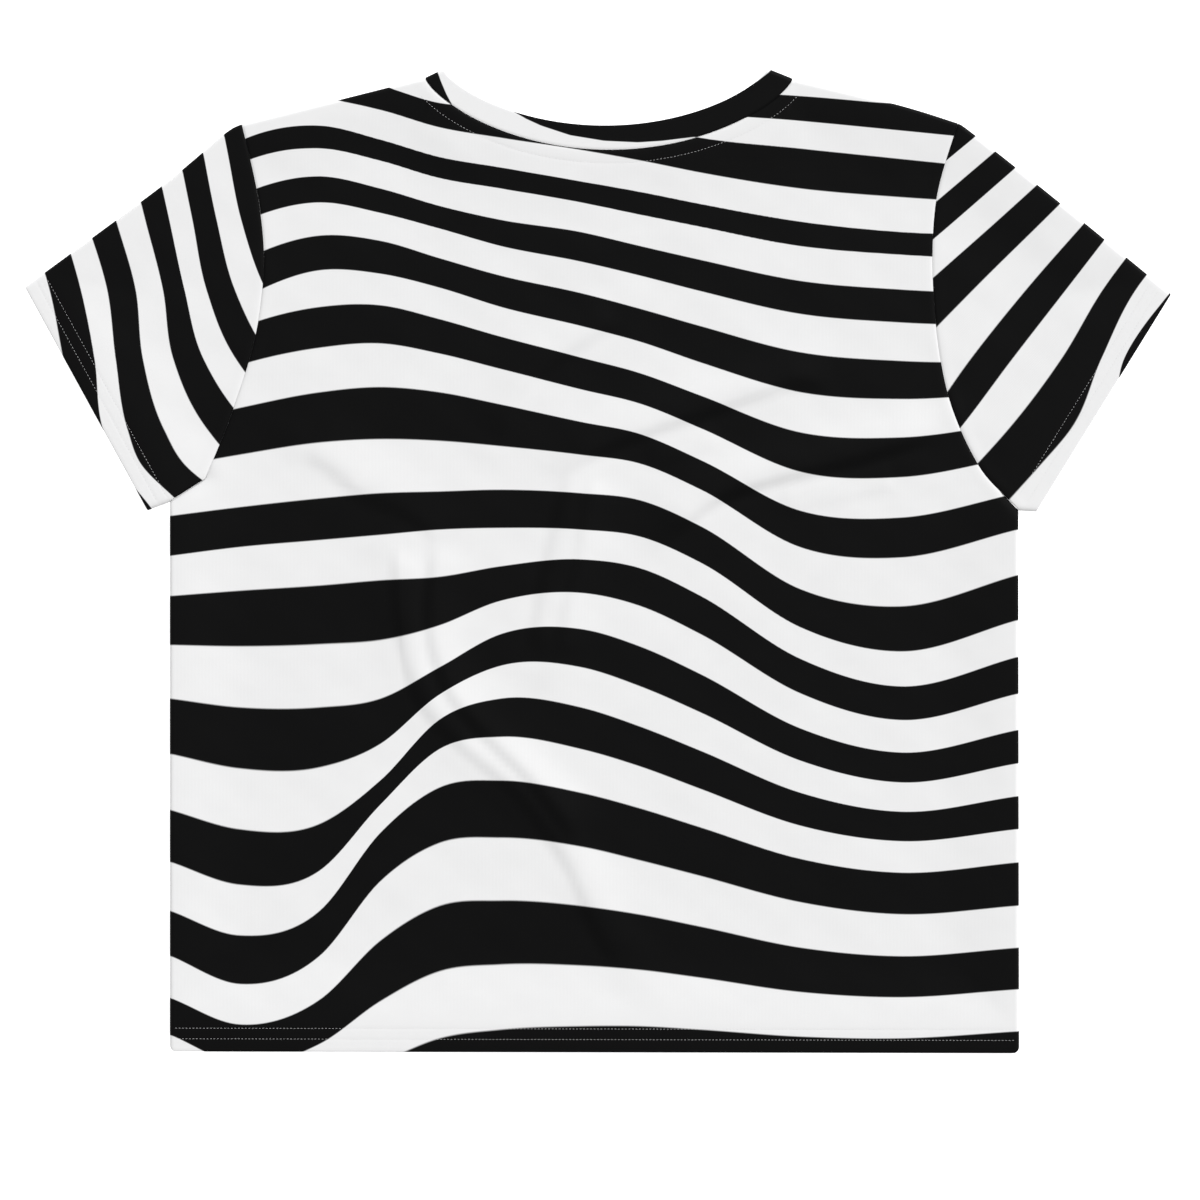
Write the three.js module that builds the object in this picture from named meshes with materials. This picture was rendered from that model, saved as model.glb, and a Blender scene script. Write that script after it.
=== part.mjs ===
// A cropped T-shirt laid flat on its front, so that its back shows: a front and a back panel,
// two short set-in sleeves and a neckband.
//
// Millimetres. Z = 0 is the surface that the shirt lies on, and +Z points up through the cloth.
// +Y points from the hem to the neck, +X to the wearer's right, and the origin is under the
// middle of the outline. Along the side, sleeve and shoulder edges the lower layer curls up and
// the upper layer curls down to meet it. Between those edges the upper layer sinks until it
// almost rests on the lower one. Hem and cuffs are turned in, so their walls are double there.
import * as THREE from "three";

// Driving dimensions
const CLOTH = 1;
const BAND_CLOTH = 1.6;
const SEAM_GAP = 0.3;
const FOLD_RADIUS = 1.6;
const HEM_DEPTH = 13.5;
const HEM_STEP = 1.2;
const SHORT_HEM_SHARE = 0.8;
const CHEST = 487;
const BODY_LENGTH = 545;
const ARMHOLE_LENGTH = 230;
const BACK_NECK_DROP = 40.5;
const FRONT_NECK_DROP = 95;
const BAND_BACK_DROP = 32;
const BAND_FRONT_DROP = 86.5;
const BACK_NECK_FULLNESS = 0.75;
const FRONT_NECK_FULLNESS = 0.82;

// How far the ends of a wall are rounded, and where that ends, on the band as a share of its width
const HEM_ROUNDING = 0.35;
const BAND_ROUNDING = 0.45;
const ROUNDED_WIDTH = 0.8;
const ROUNDED_SHARE = 0.06;

// How far from a closed edge a hem is whole again, and how far from a seam its gap is felt
const HEM_FADING = 6.4;
const SEAM_REACH = 3;

// Heights of the middle of the cloth
const LOWER_LEVEL = CLOTH / 2;
const FOLD_MIDDLE = LOWER_LEVEL + FOLD_RADIUS + SEAM_GAP / 2;
const EDGE_LEVEL = 2 * FOLD_MIDDLE - LOWER_LEVEL;
const SUNK_LEVEL = 2;
const SINK_REACH = 45;
const OVER_BAND_RISE = 0.6;
const OVER_BAND_WIDTH = 18;
const BAND_LOWER_LEVEL = BAND_CLOTH / 2;

// Longest steps of the grids that the walls are made from. CURL holds the distances from a closed
// edge that a grid includes, because the cloth turns there.
const UPPER_STEP = 16.5;
const LOWER_STEP = 26;
const BACK_NECK_STEP = 13;
const FRONT_NECK_STEP = 15;
const CURL = [0.4, 1.7];
const LINE_SAMPLES = 60;

// Where the parts of a panel's sides and top and of a sleeve's head meet, as shares of each
const SIDE_SHARE = 0.58;
const TUCK_SHARE = 0.1;
const NECK_FROM = 0.27;
const NECK_TO = 0.765;
const SIDE_FADING = 3;

// Seam and edge points of each side, as seen from above: [x, y]. tuck is where the sleeve's
// underarm starts to lie against the body. armhole holds the points up from there, sleeveTop
// those from the cuff up to the shoulder, and shoulderLine those from there in to the neck.
const SIDES = {
  left: {
    hem: [-245.5, -281.7],
    underarm: [-245.5, 34.5],
    sleeveUnderarm: [-246.5, 34.1],
    tuck: [-225.5, 47.5],
    armhole: [[-209.5, 87.5], [-196.5, 131], [-192, 172], [-195.5, 210]],
    shoulder: [-204.5, 250.5],
    shoulderLine: [[-148.5, 264.5]],
    neck: [-99, 277],
    bandEnd: [-88.5, 282],
    sleeveTop: [[-250.5, 215], [-215, 244.5]],
    cuffTop: [-329, 157],
    cuffBottom: [-259, 29.5],
  },
  right: {
    hem: [241.5, -282.7],
    underarm: [241, 29.5],
    sleeveUnderarm: [242, 29.4],
    tuck: [233.5, 37.5],
    armhole: [[218, 56], [201, 96], [193, 150], [194, 205]],
    shoulder: [206.5, 251],
    shoulderLine: [[172.5, 261.5]],
    neck: [111.5, 276.5],
    bandEnd: [97, 282.3],
    sleeveTop: [[265, 205.5], [216, 244.5]],
    cuffTop: [329, 153],
    cuffBottom: [252, 28.7],
  },
};

// The largest folds of the upper cloth, as soft ridges over the points of a path.
const FOLDS = [
  { name: "long sweep", height: 1.5, width: 13,
    path: [[-118, 8], [-106, -50], [-84, -95], [-33, -142], [10, -212], [36, -262]] },
  { name: "shoulder blade arc", height: 1.4, width: 12,
    path: [[-26, -60], [-13, 12], [-3, 58], [24, 80], [66, 94], [126, 107]] },
  { name: "underarm drag", height: 1.3, width: 11,
    path: [[34, 16], [70, 43], [107, 56], [143, 64], [200, 82]] },
  { name: "left chest fall", height: 1, width: 11,
    path: [[-172, 66], [-128, 45], [-100, 18]] },
  { name: "upper back wrinkle", height: 0.8, width: 11,
    path: [[-64, 68], [-34, 110], [12, 151]] },
];

const point = ([x, y]) => new THREE.Vector2(x, y);
const smooth = (...points) => new THREE.SplineCurve(points.map(point));
const mix = (a, b, share) => a.clone().lerp(b, share);
const forward = (curve) => (share) => curve.getPointAt(share);
const backward = (curve) => (share) => curve.getPointAt(1 - share);

function smoothStep(from, to, value) {
  const share = THREE.MathUtils.clamp((value - from) / (to - from), 0, 1);
  return share * share * (3 - 2 * share);
}

// Two lines one after the other: the first up to a share of the way, and then the second.
function chain(first, share, second) {
  return (along) => (along <= share ? first(along / share)
    : second((along - share) / (1 - share)));
}

// A scoop from one neck point to the other, which drops below the line between them.
function scoop(start, end, drop, fullness) {
  const curve = new THREE.Curve();
  curve.getPoint = (along, target = new THREE.Vector2()) => {
    const across = -Math.cos(Math.PI * along);
    target.lerpVectors(point(start), point(end), (1 + across) / 2);
    target.y -= drop * (1 - across * across) ** fullness;
    return target;
  };
  return curve;
}

const { left, right } = SIDES;
const necks = {
  back: {
    seam: scoop(left.neck, right.neck, BACK_NECK_DROP, BACK_NECK_FULLNESS),
    bandEdge: scoop(left.bandEnd, right.bandEnd, BAND_BACK_DROP, BACK_NECK_FULLNESS),
    step: BACK_NECK_STEP,
  },
  front: {
    seam: scoop(left.neck, right.neck, FRONT_NECK_DROP, FRONT_NECK_FULLNESS),
    bandEdge: scoop(left.bandEnd, right.bandEnd, BAND_FRONT_DROP, FRONT_NECK_FULLNESS),
    step: FRONT_NECK_STEP,
  },
};

// The lines of one side, each named after what is sewn or folded there. They run from the hem up
// to the band, and from the underarm out to the cuff and back up to the shoulder.
function linesOf(side) {
  return {
    sideSeam: smooth(side.hem, side.underarm),
    underarmTuck: smooth(side.underarm, side.tuck),
    armhole: smooth(side.tuck, ...side.armhole, side.shoulder),
    shoulderSeam: smooth(side.shoulder, ...side.shoulderLine, side.neck),
    bandFold: smooth(side.neck, side.bandEnd),
    underarmFold: smooth(side.sleeveUnderarm, side.cuffBottom),
    cuff: smooth(side.cuffBottom, side.cuffTop),
    sleeveFold: smooth(side.cuffTop, ...side.sleeveTop, side.shoulder),
  };
}
const lines = { left: linesOf(left), right: linesOf(right) };

// Points of the named lines of a side. The shirt is always to the right of the way they run, so
// the lines of its right side are turned round.
function outline(sideName, ...lineNames) {
  return lineNames.map((lineName) => {
    const points = lines[sideName][lineName].getSpacedPoints(LINE_SAMPLES);
    return sideName === "right" ? points.reverse() : points;
  });
}
const bothSides = (...lineNames) => [
  ...outline("left", ...lineNames), ...outline("right", ...lineNames),
];

// The nearest point of some lines: how far away it is, and the way out of the shirt there.
function nearest(edges, place) {
  const best = { distance: Infinity, outward: new THREE.Vector2() };
  const along = new THREE.Vector2();
  const offset = new THREE.Vector2();
  for (const edge of edges) {
    for (let i = 1; i < edge.length; i++) {
      along.subVectors(edge[i], edge[i - 1]);
      offset.subVectors(place, edge[i - 1]);
      const share = THREE.MathUtils.clamp(offset.dot(along) / along.lengthSq(), 0, 1);
      const distance = offset.addScaledVector(along, -share).length();
      if (distance < best.distance) {
        best.distance = distance;
        best.outward.set(-along.y, along.x).normalize();
      }
    }
  }
  return best;
}

const closedEdges = bothSides(
  "sideSeam", "underarmFold", "sleeveFold", "shoulderSeam", "bandFold");
const hemLine = [point(left.hem), point(right.hem)];
const hems = [hemLine, ...bothSides("cuff")];
const neckLines = Object.fromEntries(Object.entries(necks).map(
  ([half, { seam }]) => [half, seam.getSpacedPoints(LINE_SAMPLES)]));
const frontBandLines = [neckLines.front, necks.front.bandEdge.getSpacedPoints(LINE_SAMPLES)];
const foldLines = FOLDS.map(({ path }) => smooth(...path).getSpacedPoints(LINE_SAMPLES));

// The middle of the upper cloth away from its curled edges. It stays up beside them and along
// the hems, and sinks between them, except over the front neckband and in the folds.
function upperLevel(place) {
  const fromEdge = Math.min(
    nearest([...closedEdges, neckLines.back], place).distance,
    nearest(hems, place).distance - HEM_DEPTH);
  const ridge = (height, width, edges) =>
    height * Math.exp(-((nearest(edges, place).distance / width) ** 2));
  const raised = FOLDS.reduce(
    (sum, { height, width }, i) => sum + ridge(height, width, [foldLines[i]]),
    ridge(OVER_BAND_RISE, OVER_BAND_WIDTH, frontBandLines));
  return EDGE_LEVEL
    - smoothStep(0, SINK_REACH, fromEdge) * (EDGE_LEVEL - SUNK_LEVEL - raised);
}

// Where the cloth of a layer is: the middle of the wall, its way out, and how far it is from the
// closed edges of its piece. Beside those, the two layers curl towards each other and stop half
// of the gap short of their middle height.
function clothAt(place, { upper, level, gap, closed }) {
  const { distance, outward } = nearest(closed, place);
  const turned = THREE.MathUtils.clamp(1 - distance / FOLD_RADIUS, 0, 1);
  const rise = Math.sqrt(1 - turned * turned);
  const way = upper ? 1 : -1;
  const start = FOLD_MIDDLE + (way * gap) / 2;
  return {
    middle: new THREE.Vector3(place.x, place.y, start + (level - start) * rise),
    normal: new THREE.Vector3(outward.x * turned, outward.y * turned, way * rise),
    distance,
  };
}

// The two faces of the wall there. A rounded end is thinner, and a hem has a second layer inside
// that fades out before a closed edge.
function faces({ middle, normal, distance }, { cloth = CLOTH, rounding = 0, hemmed = false }) {
  const turnedIn = hemmed ? CLOTH * smoothStep(FOLD_RADIUS, HEM_FADING, distance) : 0;
  return {
    outside: middle.clone().addScaledVector(normal, cloth / 2 - rounding),
    inside: middle.clone().addScaledVector(normal, rounding - cloth / 2 - turnedIn),
  };
}

// Draws a place beside a seam back by half of the gap: a panel inwards, and the sleeve or band
// that is sewn to it outwards.
function drawnBack(place, seams, inwards) {
  const { distance, outward } = nearest(seams, place);
  const shift = (SEAM_GAP / 2) * (1 - smoothStep(0, SEAM_REACH, distance));
  return place.clone().addScaledVector(outward, inwards ? -shift : shift);
}

// Shares of a length from 0 to 1, with no step between them over the limit. An end that curls
// has its own close shares.
function stations(length, limit, { startCurls = false, endCurls = false }) {
  const fixed = [0, 1];
  if (startCurls) fixed.push(...CURL.map((distance) => distance / length));
  if (endCurls) fixed.push(...CURL.map((distance) => 1 - distance / length));
  fixed.sort((a, b) => a - b);
  return fixed.flatMap((share, i) => {
    if (i === 0) return [share];
    const span = share - fixed[i - 1];
    const count = Math.ceil((span * length) / limit);
    return Array.from({ length: count }, (_, k) => fixed[i - 1] + (span * (k + 1)) / count);
  });
}
const within = (from, to, shares) => shares.map((share) => from + (to - from) * share);
const joined = (...lists) => lists.flatMap((list, i) => (i === 0 ? list : list.slice(1)));

// Shares that a panel has in common with the piece sewn to it, so that their edges match.
const armholeStations = (limit) => joined(
  within(0, TUCK_SHARE, stations(TUCK_SHARE * ARMHOLE_LENGTH, limit, { startCurls: true })),
  within(TUCK_SHARE, 1,
    stations((1 - TUCK_SHARE) * ARMHOLE_LENGTH, limit, { endCurls: true })));
const neckStations = ({ seam, step }) =>
  stations(seam.getLength(), step, { startCurls: true, endCurls: true });

// A patch of the plan between four lines: across its bottom and top, and up its two sides. The
// bow of each side fades towards the other one, by a power of the way across.
function patch({ bottom, top, start, end, fading = 1 }) {
  const bow = (side, corner, up) => side(up).sub(mix(bottom(corner), top(corner), up));
  return (across, up) => mix(bottom(across), top(across), up)
    .addScaledVector(bow(start, 0, up), (1 - across) ** fading)
    .addScaledVector(bow(end, 1, up), across ** fading);
}

// A closed wall from a grid of places, each with a point outside and a point inside the cloth.
// In a wrapped grid each row closes on itself, which makes a tube.
function wall(name, grid, wrapped, material) {
  const rows = grid.length;
  const columns = grid[0].length;
  const cells = grid.flat();
  const points = [...cells.map(({ outside }) => outside), ...cells.map(({ inside }) => inside)];
  const outer = (row, column) => row * columns + (column % columns);
  const inner = (row, column) => rows * columns + outer(row, column);
  const triangles = [];
  const quad = (a, b, c, d) => triangles.push([a, b, c], [a, c, d]);
  const lastRow = rows - 1;
  const lastColumn = wrapped ? columns : columns - 1;
  for (let column = 0; column < lastColumn; column++) {
    const next = column + 1;
    for (let row = 0; row < lastRow; row++) {
      quad(outer(row, column), outer(row, next), outer(row + 1, next), outer(row + 1, column));
      quad(inner(row, column), inner(row + 1, column), inner(row + 1, next), inner(row, next));
    }
    quad(outer(0, column), inner(0, column), inner(0, next), outer(0, next));
    quad(outer(lastRow, column), outer(lastRow, next), inner(lastRow, next),
      inner(lastRow, column));
  }
  for (let row = 0; !wrapped && row < lastRow; row++) {
    const next = row + 1;
    quad(outer(row, 0), outer(next, 0), inner(next, 0), inner(row, 0));
    quad(outer(row, lastColumn), inner(row, lastColumn), inner(next, lastColumn),
      outer(next, lastColumn));
  }
  const volume = triangles.reduce((sum, [a, b, c]) =>
    sum + points[a].dot(points[b].clone().cross(points[c])), 0);
  if (volume < 0) triangles.forEach((triangle) => triangle.reverse());
  const geometry = new THREE.BufferGeometry().setFromPoints(points);
  geometry.setIndex(triangles.flat());
  geometry.computeVertexNormals();
  const mesh = new THREE.Mesh(geometry, material);
  mesh.name = name;
  return mesh;
}

// The seam that a sleeve's head and the side of a panel share.
const armholeOf = ({ underarmTuck, armhole }) =>
  chain(forward(underarmTuck), TUCK_SHARE, forward(armhole));

// A body panel, from the hem up to its shoulders and its own neck seam.
function panel(name, { upper, half, step }, material) {
  const sideOf = (own) => chain(forward(own.sideSeam), SIDE_SHARE, armholeOf(own));
  const shoulders = chain(forward(lines.left.shoulderSeam), NECK_FROM / NECK_TO,
    forward(necks[half].seam));
  const plan = patch({
    bottom: (across) => mix(...hemLine, across),
    top: chain(shoulders, NECK_TO, backward(lines.right.shoulderSeam)),
    start: sideOf(lines.left),
    end: sideOf(lines.right),
    fading: SIDE_FADING,
  });
  const across = joined(
    within(0, NECK_FROM, stations(NECK_FROM * CHEST, step, { startCurls: true })),
    within(NECK_FROM, NECK_TO, neckStations(necks[half])),
    within(NECK_TO, 1, stations((1 - NECK_TO) * CHEST, step, { endCurls: true })));
  const hemTop = HEM_DEPTH / BODY_LENGTH;
  const hemRows = [0, ROUNDED_WIDTH / BODY_LENGTH, hemTop];
  const aboveHem = (HEM_DEPTH + HEM_STEP) / BODY_LENGTH;
  const up = [...hemRows, ...joined(
    within(aboveHem, SIDE_SHARE,
      stations((SIDE_SHARE - aboveHem) * BODY_LENGTH, step, {})),
    within(SIDE_SHARE, 1, armholeStations(step)))];
  const closed = bothSides("sideSeam", "shoulderSeam");
  const seams = [...bothSides("underarmTuck", "armhole"), neckLines[half]];
  const grid = up.map((rowShare) => across.map((columnShare) => {
    const place = drawnBack(plan(columnShare, rowShare), seams, true);
    const level = upper ? upperLevel(place) : LOWER_LEVEL;
    return faces(clothAt(place, { upper, level, gap: SEAM_GAP, closed }), {
      rounding: rowShare === 0 ? HEM_ROUNDING : 0,
      hemmed: rowShare <= hemTop,
    });
  }));
  return wall(name, grid, false, material);
}

// A sleeve: one flattened tube from its armhole seam to the cuff. Beside the underarm it is
// shorter than the hem is deep, so the hem is drawn in there.
function sleeve(name, sideName, material) {
  const side = SIDES[sideName];
  const own = lines[sideName];
  const sleeveTuck = smooth(side.sleeveUnderarm, side.tuck);
  const head = chain(forward(sleeveTuck), TUCK_SHARE, forward(own.armhole));
  const plan = patch({
    bottom: head,
    top: forward(own.cuff),
    start: forward(own.underarmFold),
    end: backward(own.sleeveFold),
  });
  const above = armholeStations(UPPER_STEP);
  const below = armholeStations(LOWER_STEP).slice(1, -1).reverse();
  const round = [
    ...above.map((share) => ({ share, upper: true })),
    ...below.map((share) => ({ share, upper: false })),
  ];
  const hemSpan = HEM_DEPTH + HEM_STEP;
  const rows = [
    ...stations(own.sleeveFold.getLength() - hemSpan, UPPER_STEP, {})
      .map((sleeveShare) => ({ sleeveShare, fromCuff: hemSpan })),
    ...[HEM_DEPTH, ROUNDED_WIDTH, 0].map((fromCuff) => ({ sleeveShare: 1, fromCuff })),
  ];
  const cuffLine = outline(sideName, "cuff");
  const closed = outline(sideName, "underarmFold", "sleeveFold");
  const seams = outline(sideName, "underarmTuck", "armhole");
  const grid = rows.map(({ sleeveShare, fromCuff }) => round.map(({ share, upper }) => {
    const length = nearest(cuffLine, head(share)).distance;
    const drawnIn = Math.min(1, (SHORT_HEM_SHARE * length) / hemSpan);
    const along = sleeveShare * (1 - (fromCuff * drawnIn) / length);
    const place = drawnBack(plan(share, along), seams, false);
    const level = upper ? upperLevel(place) : LOWER_LEVEL;
    return faces(clothAt(place, { upper, level, gap: 0, closed }), {
      rounding: fromCuff === 0 ? HEM_ROUNDING : 0,
      hemmed: fromCuff < hemSpan,
    });
  }));
  return wall(name, grid, true, material);
}

// The neckband: a ring that lies on the upper level behind the neck and on the lower level in
// front of it, and folds over at both shoulders.
function neckband(name, material) {
  const behind = neckStations(necks.back);
  const before = neckStations(necks.front).slice(1, -1).reverse();
  const ring = [
    ...behind.map((share) => ({ share, half: "back" })),
    ...before.map((share) => ({ share, half: "front" })),
  ];
  const rows = [
    { across: 0, rounding: BAND_ROUNDING },
    { across: ROUNDED_SHARE, rounding: 0 },
    { across: 1 - ROUNDED_SHARE, rounding: 0 },
    { across: 1, rounding: BAND_ROUNDING },
  ];
  const closed = bothSides("bandFold");
  const grid = rows.map(({ across, rounding }) => ring.map(({ share, half }) => {
    const { seam, bandEdge } = necks[half];
    const place = drawnBack(
      mix(seam.getPointAt(share), bandEdge.getPointAt(share), across), [neckLines[half]], false);
    const upper = half === "back";
    const level = upper ? EDGE_LEVEL : BAND_LOWER_LEVEL;
    return faces(clothAt(place, { upper, level, gap: 0, closed }),
      { cloth: BAND_CLOTH, rounding });
  }));
  return wall(name, grid, true, material);
}

// One jersey, in the mean grey of the stripes on each kind of piece.
const jersey = (name, color) => {
  const material = new THREE.MeshStandardMaterial({ color, roughness: 0.85, metalness: 0 });
  material.name = name;
  return material;
};
const bodyJersey = jersey("body jersey", 0x9a9a9a);
const sleeveJersey = jersey("sleeve jersey", 0x8c8c8c);
const bandJersey = jersey("neckband jersey", 0xd8d8d8);

const shirt = new THREE.Group();
shirt.add(
  panel("front", { upper: false, half: "front", step: LOWER_STEP }, bodyJersey),
  panel("back", { upper: true, half: "back", step: UPPER_STEP }, bodyJersey),
  sleeve("sleeve_left", "left", sleeveJersey),
  sleeve("sleeve_right", "right", sleeveJersey),
  neckband("neckband", bandJersey),
);

export default shirt;
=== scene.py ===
"""The looks of a cropped T-shirt laid flat on its front, so that its back shows.

Lengths in this file are millimetres, and metres only in what Blender is given.
Z = 0 is the surface that the shirt lies on. +Y points from the hem to the neck, and +X to the
wearer's right. The outlines, levels and folds repeat those of the part's solids, and the creases,
seams, hems, stitches and stripes are added here.
"""
import math

import bpy
import numpy as np
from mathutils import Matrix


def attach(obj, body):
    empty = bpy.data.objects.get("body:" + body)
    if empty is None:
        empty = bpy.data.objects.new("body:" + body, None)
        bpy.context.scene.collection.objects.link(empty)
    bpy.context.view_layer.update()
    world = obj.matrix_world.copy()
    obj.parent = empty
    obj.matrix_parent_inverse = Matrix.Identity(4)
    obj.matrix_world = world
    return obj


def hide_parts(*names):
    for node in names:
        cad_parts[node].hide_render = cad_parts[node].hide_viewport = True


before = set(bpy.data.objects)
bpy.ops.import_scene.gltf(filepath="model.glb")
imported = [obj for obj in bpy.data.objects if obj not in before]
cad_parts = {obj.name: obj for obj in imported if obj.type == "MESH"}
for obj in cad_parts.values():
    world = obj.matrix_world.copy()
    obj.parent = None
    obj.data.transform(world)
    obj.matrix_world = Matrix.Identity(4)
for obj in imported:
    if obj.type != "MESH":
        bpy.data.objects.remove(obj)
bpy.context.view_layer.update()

MM = 0.001

# Cloth
CAD_CLOTH = 1.0
CAD_BAND_CLOTH = 1.6
CLOTH = 0.65
BAND_CLOTH = 1.5
FOLD_RADIUS = 1.6
CAD_SEAM_GAP = 0.3
SEAM_GAP = 0.12
SEAM_REACH = 3.0

# Sizes of the garment
CHEST = 487.0
BODY_LENGTH = 545.0
ARMHOLE_LENGTH = 230.0
HEM_DEPTH, HEM_LAYER_GAP = 13.5, 0.1
BACK_NECK_DROP, BACK_NECK_FULLNESS = 40.5, 0.75
FRONT_NECK_DROP, FRONT_NECK_FULLNESS = 95.0, 0.82
BAND_BACK_DROP, BAND_FRONT_DROP = 32.0, 86.5
HEM_CORNER_RADIUS, HEM_CORNER_HEIGHT = 3.0, 25.0
SHORT_HEM_SHARE = 0.8

# Heights of the middle of the cloth
LOWER_LEVEL = CAD_CLOTH / 2
FOLD_MIDDLE = LOWER_LEVEL + FOLD_RADIUS + CAD_SEAM_GAP / 2
EDGE_LEVEL = 2 * FOLD_MIDDLE - LOWER_LEVEL
SUNK_LEVEL = 2.0
SINK_REACH = 45.0
OVER_BAND_RISE, OVER_BAND_WIDTH = 0.6, 18.0
BAND_LOWER_LEVEL = CAD_BAND_CLOTH / 2
LOWEST_UPPER_LEVEL = 1.05
RELIEF_REACH = 20.0

# Where the lower cloth lifts off the surface: past which height of its waves, by how much more
# than they do, and how far in from an edge. Its waves are the upper cloth's, moved.
LIFT_PAST, LIFT_SHARE = 0.08, 1.5
LIFT_FROM, LIFT_TO = 4.0, 25.0
LIFT_MOVE = 90.0

# Where the parts of a panel's sides and top and of a sleeve's head meet, as shares of each
SIDE_SHARE = 0.58
TUCK_SHARE = 0.1
NECK_FROM, NECK_TO = 0.27, 0.765
SIDE_FADING = 3

# Steps of the grids. FINE holds the distances from a closed edge or seam where a grid is closer.
# STITCH_GROOVE_ROWS are its rows beside a row of stitches, and HEM_HEIGHTS its others on a hem.
# SPAN_SAMPLES and those after it count the points of lines.
BACK_STEP, FRONT_STEP, SLEEVE_STEP, BAND_STEP = 3.0, 4.2, 3.0, 2.5
FINE = [0.12, 0.28, 0.5, 0.8, 1.15, 1.6, 2.4]
HEM_HEIGHTS = [2.2, 4.2, 5.4, 9.6, 11.0, 12.2]
STITCH_GROOVE_ROWS = [-1.6, -0.9, -0.4, 0.0, 0.4, 0.9, 1.6]
BENT_STEPS = 6
SHARE_DIGITS = 6
SPAN_SAMPLES, CHORD_COUNT, LINE_SAMPLES = 24, 48, 400

# Rows of stitches, by their distance from the edge or seam, and how far short of a side they end:
# at the hem in millimetres, and at the cuffs and the neck as a share of the row
HEM_ROWS = [7.4, 13.5]
NECK_ROW = 7.7
HEM_ROW_END = 2.2
CUFF_ROW_END, CUFF_LINE_SAMPLES, CUFF_ROW_SAMPLES = 0.015, 300, 260
NECK_ROW_END, NECK_ROW_SAMPLES = 0.035, 380

# A stitch: its thread bows up in the middle, sinks in and gets thinner towards its two ends
STITCH_PITCH, STITCH_LENGTH, STITCH_RADIUS = 2.0, 1.3, 0.08
STITCH_BOW, STITCH_SINK, STITCH_THINNING = 0.07, 0.2, 0.45
STITCH_SIDES, STITCH_RINGS = 5, 5
STITCH_GROOVE, STITCH_GROOVE_WIDTH = 0.08, 0.7
HALF_STITCH = 0.5

# The dip at a seam, and the roll of its allowance beside it
SEAM_DIP, SEAM_DIP_WIDTH = 0.35, 0.75
SEAM_ROLL, SEAM_ROLL_AT, SEAM_ROLL_WIDTH = 0.1, 3.2, 2.4

# How far the back sinks beside the underarm of each sleeve, and how wide this dip is
TUCK_DROP = {"left": (1.3, 5.0), "right": (0.8, 3.0)}

# Seam and edge points of each side, as seen from above
SIDES = {
    "left": {
        "hem": (-245.5, -281.7),
        "underarm": (-245.5, 34.5),
        "sleeve_underarm": (-246.5, 34.1),
        "tuck": (-225.5, 47.5),
        "armhole": [(-209.5, 87.5), (-196.5, 131), (-192, 172), (-195.5, 210)],
        "shoulder": (-204.5, 250.5),
        "shoulder_line": [(-148.5, 264.5)],
        "neck": (-99, 277),
        "band_end": (-88.5, 282),
        "sleeve_top": [(-250.5, 215), (-215, 244.5)],
        "cuff_top": (-329, 157),
        "cuff_bottom": (-259, 29.5),
    },
    "right": {
        "hem": (241.5, -282.7),
        "underarm": (241, 29.5),
        "sleeve_underarm": (242, 29.4),
        "tuck": (233.5, 37.5),
        "armhole": [(218, 56), (201, 96), (193, 150), (194, 205)],
        "shoulder": (206.5, 251),
        "shoulder_line": [(172.5, 261.5)],
        "neck": (111.5, 276.5),
        "band_end": (97, 282.3),
        "sleeve_top": [(265, 205.5), (216, 244.5)],
        "cuff_top": (329, 153),
        "cuff_bottom": (252, 28.7),
    },
}

# The largest folds of the upper cloth, as the CAD has them: height, width and path. Only a share
# of their height is a round fold here, because the creases take the rest.
FOLD_SHARE = 0.5
FOLDS = [
    (1.5, 13, [(-118, 8), (-106, -50), (-84, -95), (-33, -142), (10, -212), (36, -262)]),
    (1.4, 12, [(-26, -60), (-13, 12), (-3, 58), (24, 80), (66, 94), (126, 107)]),
    (1.3, 11, [(34, 16), (70, 43), (107, 56), (143, 64), (200, 82)]),
    (1.0, 11, [(-172, 66), (-128, 45), (-100, 18)]),
    (0.8, 11, [(-64, 68), (-34, 110), (12, 151)]),
]

# Soft creases of the upper cloth: the height and width of each, and the path of its shaded side.
# The crest is to the left of the way that the path runs, and falls off gently beyond it.
CREASES = [
    (0.95, 4.4, [(-117, 10), (-117, -16), (-114, -42), (-108, -68), (-98, -88), (-77, -109),
                (-49, -132), (-31, -155), (-15, -181), (-2, -212), (12, -234)]),
    (1.4, 4.2, [(-94, 14), (-97, -12), (-98, -32), (-94, -57), (-85, -78), (-70, -96),
                (-54, -112), (-39, -127), (-23, -148), (-10, -166)]),
    (0.8, 5.5, [(-172, 62), (-155, 53), (-137, 38), (-116, 29), (-100, 19), (-92, 6)]),
    (1.4, 4.6, [(-18, 44), (-15, 51), (-8, 57), (5, 64), (31, 74), (62, 84), (88, 93), (114, 101),
                (134, 98)]),
    (0.9, 4.2, [(-16, 52), (-22, 34), (-27, 12), (-33, -16), (-39, -54)]),
    (0.8, 4.2, [(-4, 50), (-8, 30), (-13, -3), (-18, -22), (-24, -56)]),
    (1.7, 5.0, [(34, 6), (62, 30), (77, 38), (103, 46), (129, 52), (155, 59), (200, 73)]),
    (0.4, 5.0, [(106, 28), (139, 35), (172, 42)]),
    (0.4, 4.2, [(30, 53), (50, 60), (72, 67)]),
    (1.0, 5.0, [(-57, 66), (-44, 87), (-31, 107), (-15, 120), (16, 139)]),
]
CREST_OFFSET, LIT_WIDTH = 0.7, 3.5
SHADED_DIP, SHADED_DIP_OFFSET, SHADED_DIP_WIDTH = 0.35, 0.5, 0.8
CREASE_FADING = 16.0

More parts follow.
